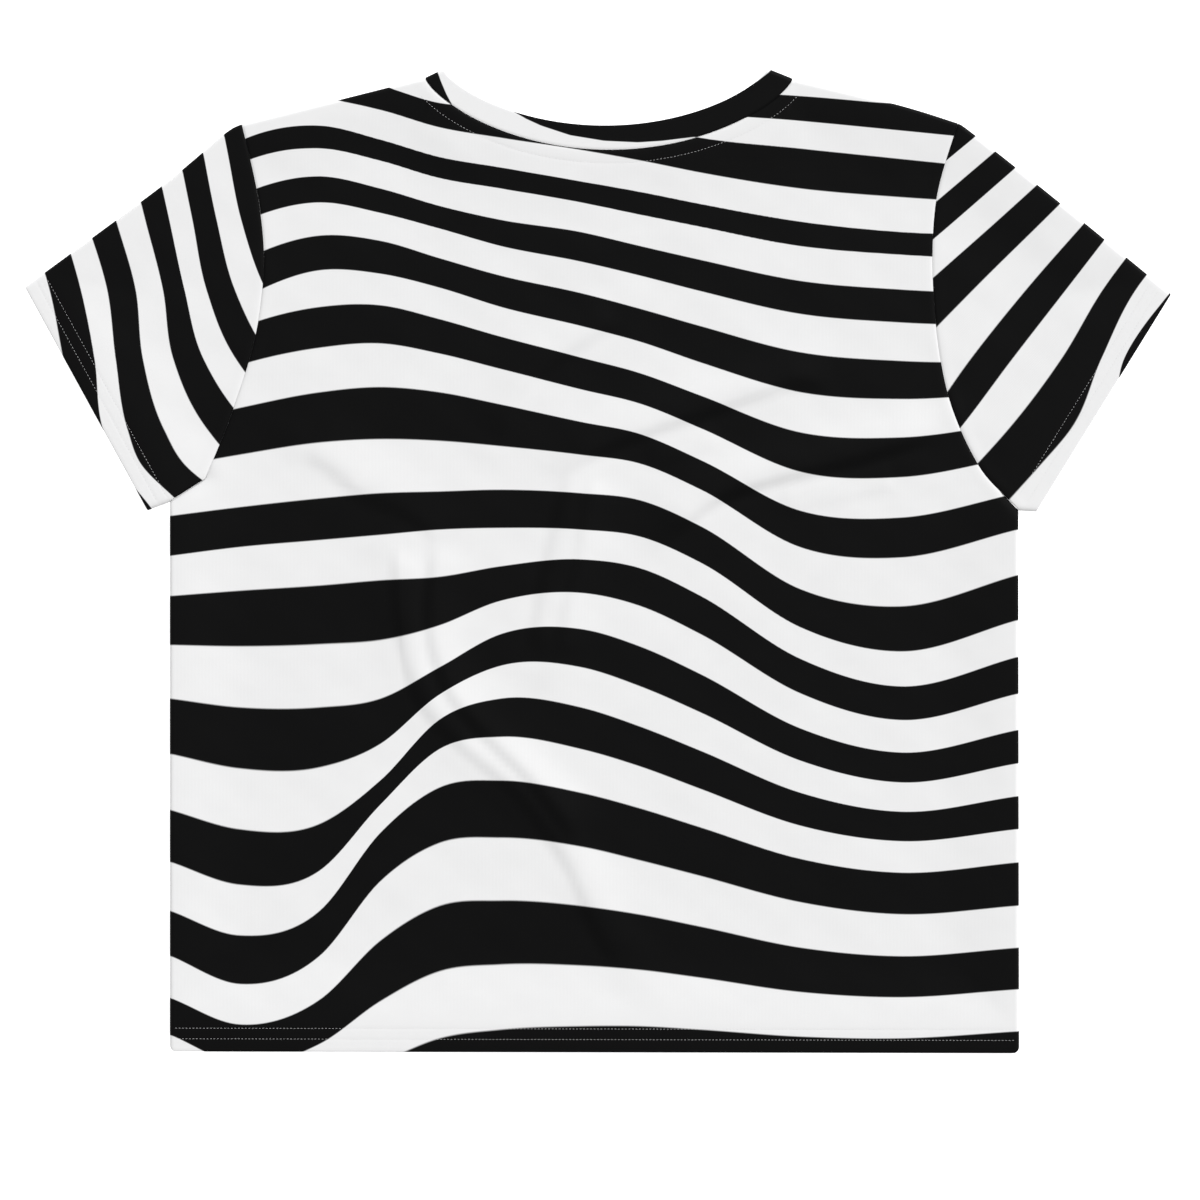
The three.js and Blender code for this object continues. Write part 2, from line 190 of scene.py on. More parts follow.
# Slight waves of cloth that was smoothed by hand: height, length, direction and phase
UNEVEN_WAVES = [
    (0.07, 61, 0.4, 1.0), (0.06, 43, 1.9, 2.2), (0.05, 29, 2.6, 4.1), (0.05, 37, 1.2, 0.3),
    (0.04, 21, 0.9, 5.0), (0.04, 24, 2.2, 3.3),
]

# Heights of the guide stripes of the body at stations across it. The number of a guide counts
# stripes down from the neck, and the cloth is black below an even one.
BODY_STATIONS = [-245, -206, -160, -125, -91, -56, -10, 24, 59, 116, 174, 241]
BODY_GUIDES = {
    0: [288, 300, 302, 298, 290, 281, 275, 272, 270, 267, 262, 256],
    2: [268, 276, 280, 273, 263, 261, 257, 250, 243, 237, 231, 224],
    3: [240, 256, 265, 259, 249, 243, 236, 230, 223, 214, 209, 205],
    4: [214, 241, 250, 242, 232, 226, 218, 212, 205, 195, 189, 187],
    5: [202, 228, 237, 230, 220, 214, 206, 199, 192, 181, 176, 173],
    6: [186, 210, 221, 214, 204, 196, 189, 181, 173, 161, 156, 153],
    7: [170, 194, 206, 200, 191, 181, 172, 164, 155, 142, 137, 135],
    8: [148, 172, 187, 184, 174, 164, 154, 145, 135, 120, 115, 114],
    9: [127, 150, 167, 165, 157, 146, 135, 126, 114, 97, 93, 97],
    10: [114, 134, 146, 147, 139, 129, 117, 108, 95, 74, 71, 80],
    12: [79, 88, 97, 100, 97, 90, 80, 73, 58, 29, 25, 39],
    13: [54, 61, 68, 70, 69, 66, 61, 56, 41, 8, 2, 18],
    14: [26, 31, 36, 39, 40, 41, 39, 35, 20, -16, -26, -8],
    15: [3, 8, 12, 15, 18, 19, 18, 14, -1, -38, -52, -34],
    16: [-20, -17, -14, -11, -9, -3, 1, -4, -20, -56, -72, -55],
    18: [-79, -84, -84, -79, -61, -42, -39, -49, -65, -96, -110, -97],
    20: [-143, -154, -151, -126, -91, -79, -84, -95, -109, -133, -144, -135],
    21: [-173, -186, -178, -140, -108, -101, -108, -118, -131, -152, -161, -154],
    22: [-201, -215, -201, -156, -130, -126, -133, -142, -153, -171, -179, -173],
    23: [-227, -243, -227, -184, -162, -159, -164, -172, -181, -196, -203, -198],
    24: [-251, -266, -252, -218, -198, -195, -198, -203, -210, -222, -227, -222],
    26: [-293, -311, -303, -288, -274, -269, -267, -267, -269, -273, -274, -270],
}

# The same on the sleeves: how far across a guide is at stations up the sleeve
SLEEVE_STATIONS = [35, 55, 75, 116, 156, 196, 236]
SLEEVE_GUIDES = {
    "left": {
        0: [-281, -290, -298, -307, -315, -328, -344],
        1: [-260, -276, -284, -289, -297, -309, -325],
        2: [-242, -262, -270, -277, -282, -294, -308],
        4: [-177, -206, -224, -244, -250, -260, -270],
        6: [-114, -143, -171, -208, -225, -233, -241],
        8: [-68, -97, -125, -166, -191, -205, -213],
    },
    "right": {
        0: [-10, 8, 25, 60, 95, 136, 186],
        2: [36, 51, 67, 99, 136, 182, 229],
        4: [73, 89, 105, 142, 185, 230, 274],
        6: [153, 169, 185, 214, 246, 281, 317],
        7: [173, 190, 207, 238, 269, 300, 333],
        8: [198, 217, 235, 266, 290, 320, 349],
        9: [236, 254, 271, 289, 309, 343, 378],
        10: [280, 288, 296, 302, 330, 366, 404],
    },
}

# The black parts of the neckband behind the neck, as areas that cover them. Before the neck it is
# black past a share of its length.
BAND_BLACKS = [
    [(-93, 286), (-92.3, 281.5), (-90.2, 275.5), (-87, 268), (-83, 260.5), (-92, 250),
     (-110, 285)],
    [(-52, 260), (-41, 253.7), (-32.7, 249.9), (-16, 244.4), (3.6, 241.2), (23, 240.3),
     (37, 241.2), (55, 243.4), (85, 240), (125, 275), (101, 282.8), (91.5, 275.5), (83.4, 270.5),
     (74, 265), (62.5, 260.2), (37, 256.5), (0, 256)],
]
BLACK_FADING = 13.0
FRONT_BLACK_PAST, FRONT_BLACK_RATE = 0.55, 8.0
BLACK_BELOW, LEVEL_REACH = 1.0, 0.5

# The neckband's section: shares of its width where its grid has rows, and how its skin dips at the
# seam. HALF_BAND_LENGTH sets the direction of its knit.
BAND_SHARES = [0.0, 0.02, 0.06, 0.12, 0.25, 0.4, 0.55, 0.7, 0.82]
BAND_SEAM_DIP, BAND_SEAM_DIP_WIDTH = 0.25, 0.03
HALF_BAND_LENGTH = 230.0


def running(steps):
    """Running lengths, from 0 at the first point to the sum of the steps at the last."""
    return np.concatenate([[0], np.cumsum(steps)])


def run_along(points):
    return running(np.linalg.norm(np.diff(points, axis=0), axis=1))


def read(at, run, rows):
    """Rows of values, read at some distances along a run."""
    return np.stack([np.interp(at, run, column) for column in rows.T], axis=-1)


def unit(vectors):
    return vectors / np.linalg.norm(vectors, axis=-1, keepdims=True)


def turned_left(vectors):
    return np.stack([-vectors[..., 1], vectors[..., 0]], axis=-1)


class Line:
    """A line through some points, read by shares of its length."""

    def __init__(self, points):
        self.points = np.array(points, float)
        run = run_along(self.points)
        self.length = run[-1]
        self.shares = run / run[-1]

    def at(self, share):
        return read(share, self.shares, self.points)

    def part(self, margin, count):
        """Points of the line, without a share of it at each end."""
        return self.at(np.linspace(margin, 1 - margin, count))

    def chords(self):
        return self.points if len(self.points) == 2 else self.part(0, CHORD_COUNT + 1)


def hermite(t, start, end, leave, reach):
    """A cubic from start to end with given slopes, straight beyond them."""
    within = np.clip(t, 0, 1)
    bend = (2 * start - 2 * end + leave + reach) * within ** 3
    value = bend + (3 * end - 3 * start - 2 * leave - reach) * within ** 2 + leave * within
    return value + start + np.where(t < 0, t * leave, 0) + np.where(t > 1, (t - 1) * reach, 0)


def smooth(*points):
    """A smooth line through points, each span bent by its neighbours."""
    if len(points) == 2:
        return Line(points)
    known = np.array(points, float)
    last = len(known) - 1
    along = np.linspace(0, last, SPAN_SAMPLES * last + 1)
    first = np.minimum(along.astype(int), last - 1)
    t = (along - first)[:, None]
    before, start = known[np.maximum(first - 1, 0)], known[first]
    end, after = known[first + 1], known[np.minimum(first + 2, last)]
    return Line(hermite(t, start, end, (end - before) / 2, (after - start) / 2))


def scoop(start, end, drop, fullness):
    """A scoop from one neck point to the other, which drops below the line between them."""
    across = -np.cos(np.pi * np.linspace(0, 1, LINE_SAMPLES + 1))
    points = mix(np.array(start, float), np.array(end, float), ((1 + across) / 2)[:, None])
    points[:, 1] -= drop * (1 - across * across) ** fullness
    return Line(points)


def mix(a, b, share):
    return a + (b - a) * share


def smooth_step(low, high, value):
    share = np.clip((value - low) / (high - low), 0, 1)
    return share * share * (3 - 2 * share)


def bump(distance, width):
    return np.exp(-((distance / width) ** 2))


def backward(line):
    return lambda share: line.at(1 - share)


def chain(first, share, second):
    """Two lines one after the other: the first up to a share of the way, and then the second."""
    def at(along):
        along = np.asarray(along, float)
        early = first(np.clip(along / share, 0, 1))
        late = second(np.clip((along - share) / (1 - share), 0, 1))
        return np.where((along <= share)[..., None], early, late)
    return at


def patch(bottom, top, start, end, fading=1):
    """A patch of the plan between four lines. The bow of each side fades towards the other."""
    def at(across, up):
        across, up = np.broadcast_arrays(across, up)
        climb = up[..., None]
        bow_start = start(up) - mix(bottom(0), top(0), climb)
        bow_end = end(up) - mix(bottom(1), top(1), climb)
        return (mix(bottom(across), top(across), climb)
                + bow_start * ((1 - across) ** fading)[..., None]
                + bow_end * (across ** fading)[..., None])
    return at


def nearest(edges, places):
    """For each place, the distance to the nearest of some lines, the way out of the shirt there
    and the share of that line's length."""
    flat = places.reshape(-1, 2)
    best = np.full(len(flat), np.inf)
    outward = np.zeros_like(flat)
    share = np.zeros(len(flat))
    for edge in edges:
        along = np.diff(edge, axis=0)
        lengths = np.linalg.norm(along, axis=1)
        run = running(lengths)
        offset = flat[:, None, :] - edge[None, :-1]
        part = np.clip((offset * along).sum(2) / lengths ** 2, 0, 1)
        distance = np.linalg.norm(offset - part[..., None] * along, axis=2)
        which = distance.argmin(1)
        rows = np.arange(len(flat))
        closer = distance[rows, which] < best
        best[closer] = distance[rows, which][closer]
        outward[closer] = turned_left(unit(along))[which[closer]]
        share[closer] = ((run[which] + part[rows, which] * lengths[which]) / run[-1])[closer]
    shape = places.shape[:-1]
    return best.reshape(shape), outward.reshape(places.shape), share.reshape(shape)


def distance_to(edges, places):
    return nearest(edges, places)[0]


def lines_of(side):
    """The lines of one side, each named after what is sewn or folded there."""
    return {
        "side_seam": smooth(side["hem"], side["underarm"]),
        "underarm_tuck": smooth(side["underarm"], side["tuck"]),
        "armhole": smooth(side["tuck"], *side["armhole"], side["shoulder"]),
        "shoulder_seam": smooth(side["shoulder"], *side["shoulder_line"], side["neck"]),
        "band_fold": smooth(side["neck"], side["band_end"]),
        "underarm_fold": smooth(side["sleeve_underarm"], side["cuff_bottom"]),
        "cuff": smooth(side["cuff_bottom"], side["cuff_top"]),
        "sleeve_fold": smooth(side["cuff_top"], *side["sleeve_top"], side["shoulder"]),
    }


LINES = {name: lines_of(side) for name, side in SIDES.items()}
LEFT, RIGHT = SIDES["left"], SIDES["right"]


def neck_half(seam_drop, edge_drop, fullness):
    """The band's seam and its open edge on one half of the neck."""
    return {"seam": scoop(LEFT["neck"], RIGHT["neck"], seam_drop, fullness),
            "edge": scoop(LEFT["band_end"], RIGHT["band_end"], edge_drop, fullness)}


NECKS = {
    "back": neck_half(BACK_NECK_DROP, BAND_BACK_DROP, BACK_NECK_FULLNESS),
    "front": neck_half(FRONT_NECK_DROP, BAND_FRONT_DROP, FRONT_NECK_FULLNESS),
}


def outline(side, *names):
    """Points of the named lines of a side, with the shirt always on the same hand."""
    found = [LINES[side][name].chords() for name in names]
    return [points[::-1] for points in found] if side == "right" else found


def both_sides(*names):
    return outline("left", *names) + outline("right", *names)


CLOSED_EDGES = both_sides("side_seam", "underarm_fold", "sleeve_fold", "shoulder_seam",
                          "band_fold")
HEM_LINE = np.array([LEFT["hem"], RIGHT["hem"]], float)
HEMS = [HEM_LINE, *both_sides("cuff")]
NECK_LINES = {half: lines["seam"].chords() for half, lines in NECKS.items()}
FRONT_BAND_LINES = [NECK_LINES["front"], NECKS["front"]["edge"].chords()]
FOLD_LINES = [smooth(*path).chords() for _, _, path in FOLDS]
CREASE_LINES = [smooth(*path).chords() for _, _, path in CREASES]
SIDE_SEAMS = both_sides("side_seam")
BAND_FOLDS = both_sides("band_fold")
PANEL_EDGES = both_sides("side_seam", "shoulder_seam")
SLEEVE_EDGES = {side: outline(side, "underarm_fold", "sleeve_fold") for side in SIDES}
TUCK_LINES = {side: outline(side, "underarm_tuck") for side in SIDES}
ARMHOLES = {side: outline(side, "underarm_tuck", "armhole") for side in SIDES}
ARMHOLE_LINES = both_sides("underarm_tuck", "armhole")


def unevenness(places):
    total = np.zeros(places.shape[:-1])
    for height, length, direction, phase in UNEVEN_WAVES:
        run = places[..., 0] * math.cos(direction) + places[..., 1] * math.sin(direction)
        total += height * np.sin(2 * np.pi * run / length + phase)
    return total


def creases(places):
    """The soft creases, each with a dip on its shaded side. A tall one fades out over a longer way
    at its two ends."""
    total = np.zeros(places.shape[:-1])
    for (height, width, _), points in zip(CREASES, CREASE_LINES):
        line = Line(points)
        _, leftward, share = nearest([points], places)
        beside = ((places - line.at(share)) * leftward).sum(-1) / width
        beyond = np.linalg.norm(places - line.at(share), axis=-1) / width
        past = beside - CREST_OFFSET
        crest = bump(past, np.where(past > 0, LIT_WIDTH, 1)) - SHADED_DIP * bump(
            beside + SHADED_DIP_OFFSET, SHADED_DIP_WIDTH)
        crest *= bump(np.sqrt(np.maximum(beyond ** 2 - beside ** 2, 0)), 1)
        from_end = np.minimum(share, 1 - share) * line.length
        total += height * smooth_step(0, CREASE_FADING * height, from_end) * crest
    return total


def upper_level(places):
    """The middle of the upper cloth away from its curled edges."""
    from_edge = np.minimum(
        distance_to([*CLOSED_EDGES, NECK_LINES["back"]], places),
        distance_to(HEMS, places) - HEM_DEPTH)
    raised = OVER_BAND_RISE * bump(distance_to(FRONT_BAND_LINES, places), OVER_BAND_WIDTH)
    for (height, width, _), line in zip(FOLDS, FOLD_LINES):
        raised = raised + FOLD_SHARE * height * bump(distance_to([line], places), width)
    sunk = smooth_step(0, SINK_REACH, from_edge)
    level = EDGE_LEVEL - sunk * (EDGE_LEVEL - SUNK_LEVEL - raised)
    level += smooth_step(0, RELIEF_REACH, from_edge) * (creases(places) + unevenness(places))
    return np.maximum(level, LOWEST_UPPER_LEVEL)


def lower_level(places):
    """The lower cloth lies on the surface, and lifts off it a little in some places."""
    lift = np.maximum(unevenness(places + LIFT_MOVE) - LIFT_PAST, 0) * LIFT_SHARE
    near = distance_to([*CLOSED_EDGES, *NECK_LINES.values()], places)
    return LOWER_LEVEL + lift * smooth_step(LIFT_FROM, LIFT_TO, near)


def level_of(places, upper):
    return upper_level(places) if upper else lower_level(places)


def seam_profile(distance):
    """How far the cloth is off its level beside a seam."""
    return (SEAM_ROLL * bump(distance - SEAM_ROLL_AT, SEAM_ROLL_WIDTH)
            - SEAM_DIP * bump(distance, SEAM_DIP_WIDTH))


def groove(distance):
    return STITCH_GROOVE * bump(distance, STITCH_GROOVE_WIDTH)


def drawn_back(places, seams, inwards):
    """Places beside a seam, drawn back by half of its gap."""
    distance, outward, _ = nearest(seams, places)
    shift = SEAM_GAP / 2 * (1 - smooth_step(0, SEAM_REACH, distance))
    return places + outward * (-shift if inwards else shift)[..., None]


def cloth_at(places, upper, level, gap, closed, relief=0.0):
    """The middle of the wall at some places and its way out. Beside the closed edges the two
    layers curl towards each other and stop half of the gap short of their middle height."""
    distance, outward, _ = nearest(closed, places)
    turned = np.clip(1 - distance / FOLD_RADIUS, 0, 1)
    rise = np.sqrt(1 - turned * turned)
    way = 1 if upper else -1
    start = FOLD_MIDDLE + way * gap / 2
    height = start + (level + way * relief - start) * rise
    middle = np.concatenate([places, height[..., None]], axis=-1)
    normal = np.concatenate([outward * turned[..., None], (way * rise)[..., None]], axis=-1)
    return middle, normal


def with_curl(length, limit, start_curls, end_curls):
    """Shares of a length with no step over the limit, and close ones at an end that curls."""
    fixed = {0.0, 1.0}
    if start_curls:
        fixed |= {distance / length for distance in FINE}
    if end_curls:
        fixed |= {1 - distance / length for distance in FINE}
    fixed = sorted(fixed)
    shares = [0.0]
    for low, high in zip(fixed, fixed[1:]):
        count = math.ceil((high - low) * length / limit)
        shares += [low + (high - low) * (k + 1) / count for k in range(count)]
    return np.array(shares)


def joined(*lists):
    return np.concatenate([lists[0], *[part[1:] for part in lists[1:]]])


def armhole_stations(limit):
    tuck = with_curl(TUCK_SHARE * ARMHOLE_LENGTH, limit, True, False)
    rest = with_curl((1 - TUCK_SHARE) * ARMHOLE_LENGTH, limit, False, True)
    return joined(TUCK_SHARE * tuck, TUCK_SHARE + (1 - TUCK_SHARE) * rest)


def turned_up_rows():
    """The hem as it is sewn, from the raw edge inside, down to the fold and up again to its top.
    Each row has the height and depth of the outer face, and then of the inner one. Depth is
    measured in from the outer face of the garment."""
    heights = {*HEM_HEIGHTS, *(row + offset for row in HEM_ROWS for offset in STITCH_GROOVE_ROWS)}
    inside = [height for height in sorted(heights, reverse=True) if height <= HEM_DEPTH]
    hollow = HEM_LAYER_GAP / 2
    full, bend = 2 * CLOTH + HEM_LAYER_GAP, CLOTH + hollow
    rows = [(height, full, height, full - CLOTH) for height in inside]
    for k in range(BENT_STEPS + 1):
        angle = math.pi * k / BENT_STEPS
        out, up = math.sin(angle), math.cos(angle)
        rows.append((bend - bend * out, bend + bend * up, bend - hollow * out,
                     bend + hollow * up))
    rows += [(height, 0, height, CLOTH) for height in sorted(heights)]
    return rows


# How far the last guide carries on, in levels
LEVELS_BEYOND = 2

# The texture map: its margin, the least step on it, where the two faces of a shell lie across it,
# and the lanes between them for its rims
MAP_MARGIN, LEAST_MAP_STEP = 0.01, 0.05
OUTSIDE_MAP, INSIDE_MAP = (0.01, 0.76), (0.79, 0.99)
RIM_MAP, RIM_LANE, RIM_LANE_WIDTH = 0.765, 0.005, 0.003
SHARP_ANGLE = 50.0


def spaced(values):
    """Running lengths between rows or columns as shares."""
    run = running(np.maximum(values, LEAST_MAP_STEP))
    return run / run[-1]


def grid_map(outside, wrapped):
    """Shares across and up a grid by the mean lengths of its cells."""
    closed = np.concatenate([outside, outside[:, :1]], axis=1) if wrapped else outside
    across = np.linalg.norm(np.diff(closed, axis=1), axis=2).mean(0)
    up = np.linalg.norm(np.diff(outside, axis=0), axis=2).mean(1)
    return spaced(across), spaced(up)


def corners(values):
    """The values at the four corners of each cell of a grid."""
    return np.stack([values[:-1, :-1], values[:-1, 1:], values[1:, 1:], values[1:, :-1]],
                    axis=-1).reshape(-1, 4)


def mapped(low, high, across, up):
    """Where the cells of a grid lie on the texture map, between two places across it."""
    u = np.broadcast_to(low + (high - low) * across[None, :], (len(up), len(across)))
    v = np.broadcast_to((MAP_MARGIN + (1 - 2 * MAP_MARGIN) * up)[:, None], u.shape)
    return np.stack([corners(u), corners(v)], axis=-1)


def smooth_object(name, points, faces):
    """An object with smooth faces between points in millimetres."""
    mesh = bpy.data.meshes.new(name)
    mesh.from_pydata((points * MM).tolist(), [], faces)
    mesh.polygons.foreach_set("use_smooth", np.ones(len(faces), bool))
    mesh.update()
    made = bpy.data.objects.new(name, mesh)
    bpy.context.scene.collection.objects.link(made)
    return made


def cloth_object(name, points, quads, maps, stripe, inner, grain):
    """A closed skin of cloth, with its faces turned outwards. Each point has its level of the
    stripes, 1 if it is on the inside of the garment, and its place along and across the knit."""
    a, b, c, d = (points[quads[:, k]] for k in range(4))
    if (a * np.cross(b, c)).sum() + (a * np.cross(c, d)).sum() < 0:
        quads, maps = quads[:, ::-1], maps[:, ::-1]
    made = smooth_object(name, points, quads.tolist())
    mesh = made.data
    mesh.uv_layers.new(name="OFBake").data.foreach_set("uv", maps.astype(np.float32).ravel())
    for label, values in (("stripe", stripe), ("inner", inner)):
        mesh.attributes.new(label, "FLOAT", "POINT").data.foreach_set(
            "value", values.astype(np.float32))
    grain = np.concatenate([grain, np.zeros((len(grain), 1))], axis=1)
    mesh.attributes.new("grain", "FLOAT_VECTOR", "POINT").data.foreach_set(
        "vector", grain.astype(np.float32).ravel())
    mesh.set_sharp_from_angle(angle=math.radians(SHARP_ANGLE))
    mesh.update()
    return made


def shell(name, outside, inside, wrapped, stripe, grain):
    """A closed shell from a grid of places outside and inside the cloth. In a wrapped grid each
    row closes on itself, which makes a tube. stripe and grain hold a value for each place."""
    rows, columns = outside.shape[:2]
    number = np.arange(rows * columns).reshape(rows, columns)
    if wrapped:
        number = np.concatenate([number, number[:, :1]], axis=1)
    under = number + rows * columns
    across, up = grid_map(outside, wrapped)
    quads = [corners(number), corners(under)[:, ::-1]]
    maps = [mapped(*OUTSIDE_MAP, across, up), mapped(*INSIDE_MAP, across, up)[:, ::-1]]
    rims = [(under[0], number[0]), (number[-1], under[-1])]
    if not wrapped:
        rims += [(number[:, 0], under[:, 0]), (under[:, -1], number[:, -1])]
    for lane, rim in enumerate(rims):
        low = RIM_MAP + lane * RIM_LANE
        quads.append(corners(np.stack(rim, axis=1)))
        maps.append(mapped(low, low + RIM_LANE_WIDTH, np.array([0.0, 1.0]),
                           np.linspace(0, 1, len(rim[0]))))
    points = np.concatenate([outside.reshape(-1, 3), inside.reshape(-1, 3)])
    return cloth_object(name, points, np.concatenate(quads), np.concatenate(maps),
                        np.tile(stripe.ravel(), 2), np.repeat([0.0, 1.0], rows * columns),
                        np.tile(grain.reshape(-1, 2), (2, 1)))


def solid_ring(name, ring, stripe, grain):
    """A ring whose section closes on itself."""
    rows, columns = ring.shape[:2]
    number = np.arange(rows * columns).reshape(rows, columns)
    number = np.concatenate([number, number[:, :1]], axis=1)
    number = np.concatenate([number, number[:1]], axis=0)
    across, up = grid_map(np.concatenate([ring, ring[:1]], axis=0), True)
    return cloth_object(name, ring.reshape(-1, 3), corners(number),
                        mapped(MAP_MARGIN, 1 - MAP_MARGIN, across, up), stripe.ravel(),
                        np.zeros(stripe.size), grain.reshape(-1, 2))


def guided_level(stations, guides, station, run):
    """The level of the stripes at some places. station is where a place is along the stations,
    and run is how far it is in the direction in which levels grow."""
    numbers = np.array(sorted(guides), float)
    table = np.array([guides[int(number)] for number in numbers], float)
    xs = np.array(stations, float)
    slopes = np.gradient(table, xs, axis=1)
    cell = np.clip(np.searchsorted(xs, station, side="right") - 1, 0, len(xs) - 2)
    width = xs[cell + 1] - xs[cell]
    knots = hermite((station - xs[cell]) / width, table[:, cell], table[:, cell + 1],
                    slopes[:, cell] * width, slopes[:, cell + 1] * width)
    if knots[0].mean() > knots[-1].mean():
        knots = -knots
    step = numbers[1] - numbers[0]
    numbers = np.concatenate([[numbers[0] - step], numbers, [numbers[-1] + LEVELS_BEYOND]])
    knots = np.concatenate([2 * knots[:1] - knots[1:2], knots, 2 * knots[-1:] - knots[-2:-1]])
    gaps = np.diff(knots, axis=0)
    rates = np.diff(numbers)[:, None] / gaps
    inner = 2 / (1 / rates[:-1] + 1 / rates[1:])
    rates_at = np.concatenate([rates[:1], inner, rates[-1:]])
    cell = np.clip((knots <= run).sum(0) - 1, 0, len(numbers) - 2)
    place = np.arange(len(run))
    gap = gaps[cell, place]
    share = (run - knots[cell, place]) / gap
    return hermite(share, numbers[cell], numbers[cell + 1], rates_at[cell, place] * gap,
                   rates_at[cell + 1, place] * gap)


def body_stripe(places):
    flat = places.reshape(-1, 2)
    level = guided_level(BODY_STATIONS, BODY_GUIDES, flat[:, 0], -flat[:, 1])
    return level.reshape(places.shape[:-1])


def sleeve_stripe(side, places):
    flat = places.reshape(-1, 2)
    level = guided_level(SLEEVE_STATIONS, SLEEVE_GUIDES[side], flat[:, 1], flat[:, 0])
    return level.reshape(places.shape[:-1])


def inside_area(area, places):
    """Whether each place is inside an area."""
    x, y = places[..., 0], places[..., 1]
    within = np.zeros(x.shape, bool)
    for (ax, ay), (bx, by) in zip(area, area[1:] + area[:1]):
        crosses = (ay > y) != (by > y)
        with np.errstate(divide="ignore", invalid="ignore"):
            cut = (bx - ax) * (y - ay) / (by - ay) + ax
        within ^= crosses & (x < cut)
    return within


def band_stripe(places, behind, share):
    """The neckband is white, with black parts. A level under BLACK_BELOW is black here."""
    beyond = np.full(places.shape[:-1], LEVEL_REACH)
    for area in BAND_BLACKS:
        distance = distance_to([np.array(area + area[:1], float)], places)
        signed = np.where(inside_area(area, places), -distance, distance)
        beyond = np.minimum(beyond, signed / BLACK_FADING)
    beyond = np.where(behind, beyond, (FRONT_BLACK_PAST - share) * FRONT_BLACK_RATE)
    return BLACK_BELOW + np.clip(beyond, -LEVEL_REACH, LEVEL_REACH)


def sewn(places, seams, offset_rows, edge_distance):
    """The relief of seams and rows of stitches at some places."""
    relief = seam_profile(distance_to(seams, places))
    for row in offset_rows:
        relief = relief - groove(edge_distance - row)
    return relief


def panel(name, half, step):
    """A body panel, from its hem up to its shoulders and neck seam. The back lies above."""
    upper = half == "back"

    def side_of(lines):
        armhole = chain(lines["underarm_tuck"].at, TUCK_SHARE, lines["armhole"].at)
        return chain(lines["side_seam"].at, SIDE_SHARE, armhole)

    neck = NECKS[half]["seam"]
    shoulders = chain(LINES["left"]["shoulder_seam"].at, NECK_FROM / NECK_TO, neck.at)
    plan = patch(
        bottom=Line(HEM_LINE).at,
        top=chain(shoulders, NECK_TO, backward(LINES["right"]["shoulder_seam"])),
        start=side_of(LINES["left"]),
        end=side_of(LINES["right"]),
        fading=SIDE_FADING,
    )
    across = joined(
        NECK_FROM * with_curl(NECK_FROM * CHEST, step, True, False),
        NECK_FROM + (NECK_TO - NECK_FROM) * with_curl(neck.length, step, True, True),
        NECK_TO + (1 - NECK_TO) * with_curl((1 - NECK_TO) * CHEST, step, False, True))
    hem = turned_up_rows()
    hem_top = hem[-1][0] / BODY_LENGTH
    near_neck = [1 - (NECK_ROW + offset) / BODY_LENGTH for offset in STITCH_GROOVE_ROWS]
    body = hem_top + (SIDE_SHARE - hem_top) * with_curl(
        (SIDE_SHARE - hem_top) * BODY_LENGTH, step, False, False)
    arm = SIDE_SHARE + (1 - SIDE_SHARE) * armhole_stations(step)
    arm = np.unique(np.round(np.concatenate([arm, near_neck]), SHARE_DIGITS))
    body_rows = [(up * BODY_LENGTH, 0, up * BODY_LENGTH, CLOTH)
                 for up in joined(body, arm)[1:]]
    outer_height, outer_depth, inner_height, inner_depth = np.array(hem + body_rows).T
    seams = [*ARMHOLE_LINES, NECK_LINES[half]]

    def face(height, depth):
        places = plan(across[None, :], height[:, None] / BODY_LENGTH)
        corner = np.clip(1 - distance_to(SIDE_SEAMS, places) / HEM_CORNER_RADIUS, 0, 1)
        lift = HEM_CORNER_RADIUS * (1 - np.sqrt(1 - corner ** 2))
        places[..., 1] += lift * np.clip(1 - height[:, None] / HEM_CORNER_HEIGHT, 0, 1)
        places = drawn_back(places, seams, True)
        relief = sewn(places, seams, HEM_ROWS, distance_to([HEM_LINE], places))
        relief -= groove(distance_to([NECK_LINES[half]], places) - NECK_ROW)
        level = level_of(places, upper)
        if upper:
            level -= underarm_step(places)
        middle, normal = cloth_at(places, upper, level, SEAM_GAP, PANEL_EDGES, relief)
        return places, middle + normal * (CAD_CLOTH / 2 - depth[:, None, None])

    places, outside = face(outer_height, outer_depth)
    _, inside = face(inner_height, inner_depth)
    return shell(name, outside, inside, False, body_stripe(places), places)


def underarm_step(places):
    """How far the back sinks beside the sleeve's underarm, which lies over it there."""
    drop = np.zeros(places.shape[:-1])
    for side, (depth, width) in TUCK_DROP.items():
        drop += depth * bump(distance_to(TUCK_LINES[side], places), width)
    return drop


